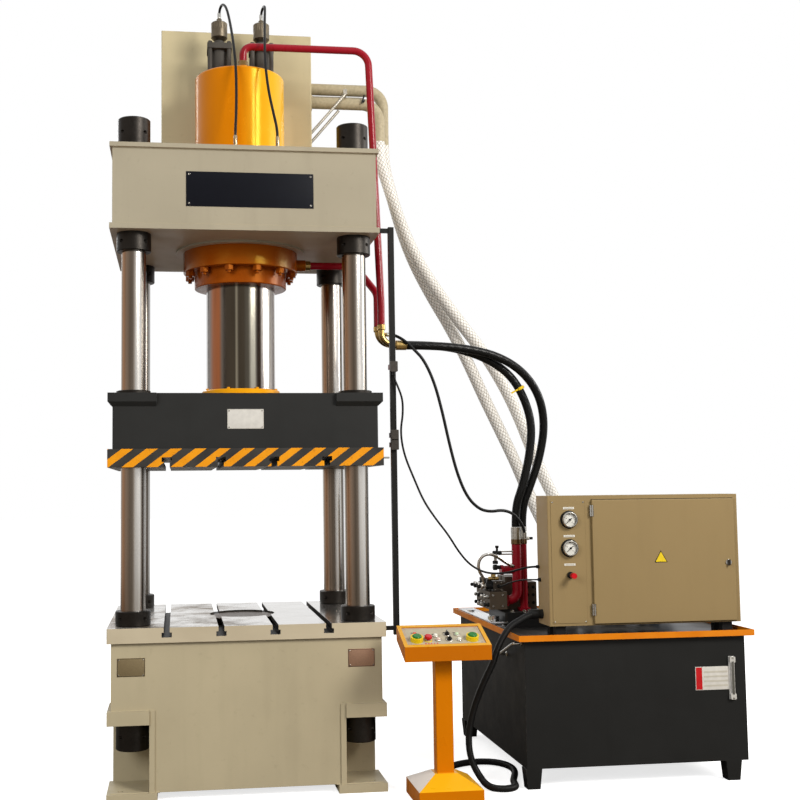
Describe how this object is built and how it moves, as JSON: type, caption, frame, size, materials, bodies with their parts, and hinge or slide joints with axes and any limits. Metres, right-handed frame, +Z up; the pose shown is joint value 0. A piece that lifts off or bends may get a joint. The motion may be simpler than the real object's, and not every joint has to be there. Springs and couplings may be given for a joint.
{
  "type": "four-column hydraulic press",
  "caption": "Four-column hydraulic press with a moving slide on chromed columns, a top cylinder and fill tank, a separate oil tank with electric cabinet, and a two-hand control stand.",
  "frame": {"origin": "on the floor, on the ram's axis, in the middle of the four anchor holes", "axes": "+X from the press towards the power unit, +Y to the rear, +Z up along the ram"},
  "size_m": [3.553, 1.722, 4.6215],
  "materials": {
    "beige_paint": "satin",
    "machined_steel": "satin",
    "chromed_steel": "polished",
    "black_steel": "satin",
    "brass": "satin",
    "red_paint": "gloss",
    "black_paint": "satin",
    "charcoal_paint": "satin",
    "hazard_paint": "satin",
    "orange_paint": "gloss",
    "yellow_paint": "gloss",
    "zinc": "satin",
    "motor_paint": "satin",
    "cast_pump": "satin",
    "grey_parts": "matte",
    "needle_black": "matte",
    "button_green": "gloss",
    "button_red": "gloss",
    "button_black": "matte",
    "panel_grey": "satin",
    "shroud_yellow": "gloss",
    "hose_rubber": "satin",
    "hose_clear": "gloss"
  },
  "bodies": {
    "press": {"bed": "beige_paint", "table_plate": "machined_steel", "columns": "chromed_steel", "column_nuts": "black_steel", "crosshead": "beige_paint", "cylinder_barrel": "orange_paint", "cylinder_gland": "orange_paint", "shoulder_bolts": "black_steel", "ejector_barrel": "black_paint", "fill_tank": "beige_paint", "prefill_valves": "cast_pump", "pilot_heads": "zinc", "tank_pipes": "beige_paint", "pressure_pipes": "red_paint", "hose_fittings": "brass", "limit_rail": "black_paint", "limit_switches": "grey_parts", "oil_tank": "black_paint", "drip_tray": "orange_paint", "level_gauge": "zinc", "cleanout_cover": "zinc", "valve_manifold": "black_paint", "solenoid_valves": "cast_pump", "riser_pipes": "red_paint", "motor": "motor_paint", "pump_unit": "cast_pump", "cabinet": "beige_paint", "cabinet_backplate": "grey_parts", "door_hinges": "zinc", "gauge_cases": "black_steel", "pedestal": "yellow_paint", "console": "yellow_paint", "console_panel": "panel_grey", "two_hand_shrouds": "shroud_yellow", "pressure_hose_upper": "hose_rubber", "pressure_hose_lower": "hose_rubber", "pilot_hose": "hose_rubber", "return_hose_front": "hose_clear", "return_hose_rear": "hose_clear", "prefill_hose_left": "hose_rubber", "prefill_hose_right": "hose_rubber", "sensor_cable": "hose_rubber", "control_conduit": "hose_rubber"},
    "slide": {"slide": "charcoal_paint", "slide_plate": "hazard_paint", "guide_bushes": "black_steel", "ram": "chromed_steel", "ram_flange": "orange_paint", "striker": "zinc"},
    "ejector": {"ejector": "machined_steel"},
    "door": {"cabinet_door": "beige_paint"},
    "lock": {"door_lock": "button_black"},
    "needle_upper": {"gauge_needle_upper": "needle_black"},
    "needle_lower": {"gauge_needle_lower": "needle_black"},
    "regulator": {"regulator_knob": "zinc"},
    "button_left": {"two_hand_button_left": "button_green"},
    "button_right": {"two_hand_button_right": "button_green"},
    "stop_button": {"emergency_stop": "button_red"},
    "selector_rear": {"selector_rear": "button_black"},
    "selector_front": {"selector_front": "button_black"}
  },
  "joints": [
    {"name": "slide_travel", "type": "slide", "parent": "press", "child": "slide", "axis": [0, 0, 1], "range_m": [-0.4, 0.45]},
    {"name": "ejector_lift", "type": "slide", "parent": "press", "child": "ejector", "axis": [0, 0, 1], "range_m": [0, 0.2]},
    {"name": "door_hinge", "type": "hinge", "parent": "press", "child": "door", "pos_m": [1.92, -0.664, 1.2105], "axis": [0, 0, -1], "range_deg": [0, 120]},
    {"name": "lock_turn", "type": "hinge", "parent": "door", "child": "lock", "pos_m": [2.713, -0.66, 1.193], "axis": [0, 1, 0], "range_deg": [0, 90]},
    {"name": "needle_upper_turn", "type": "hinge", "parent": "press", "child": "needle_upper", "pos_m": [1.787, -0.674, 1.445], "axis": [0, 1, 0], "range_deg": [0, 270], "stiffness_Nm_per_rad": 0.0005},
    {"name": "needle_lower_turn", "type": "hinge", "parent": "press", "child": "needle_lower", "pos_m": [1.787, -0.674, 1.287], "axis": [0, 1, 0], "range_deg": [0, 270], "stiffness_Nm_per_rad": 0.0005},
    {"name": "regulator_turn", "type": "hinge", "parent": "press", "child": "regulator", "pos_m": [1.787, -0.68, 1.138], "axis": [0, 1, 0], "range_deg": [-180, 180]},
    {"name": "two_hand_left_press", "type": "slide", "parent": "press", "child": "button_left", "axis": [0, 0.3534, -0.9355], "range_m": [0, 0.006], "stiffness_N_per_m": 1500},
    {"name": "two_hand_right_press", "type": "slide", "parent": "press", "child": "button_right", "axis": [0, 0.3534, -0.9355], "range_m": [0, 0.006], "stiffness_N_per_m": 1500},
    {"name": "stop_press", "type": "slide", "parent": "press", "child": "stop_button", "axis": [0, 0.3534, -0.9355], "range_m": [0, 0.005]},
    {"name": "selector_rear_turn", "type": "hinge", "parent": "press", "child": "selector_rear", "pos_m": [1.035, -0.84502, 0.85733], "axis": [0, -0.3534, 0.9355], "range_deg": [0, 90]},
    {"name": "selector_front_turn", "type": "hinge", "parent": "press", "child": "selector_front", "pos_m": [1.036, -0.8974, 0.83754], "axis": [0, -0.3534, 0.9355], "range_deg": [0, 90]}
  ]
}
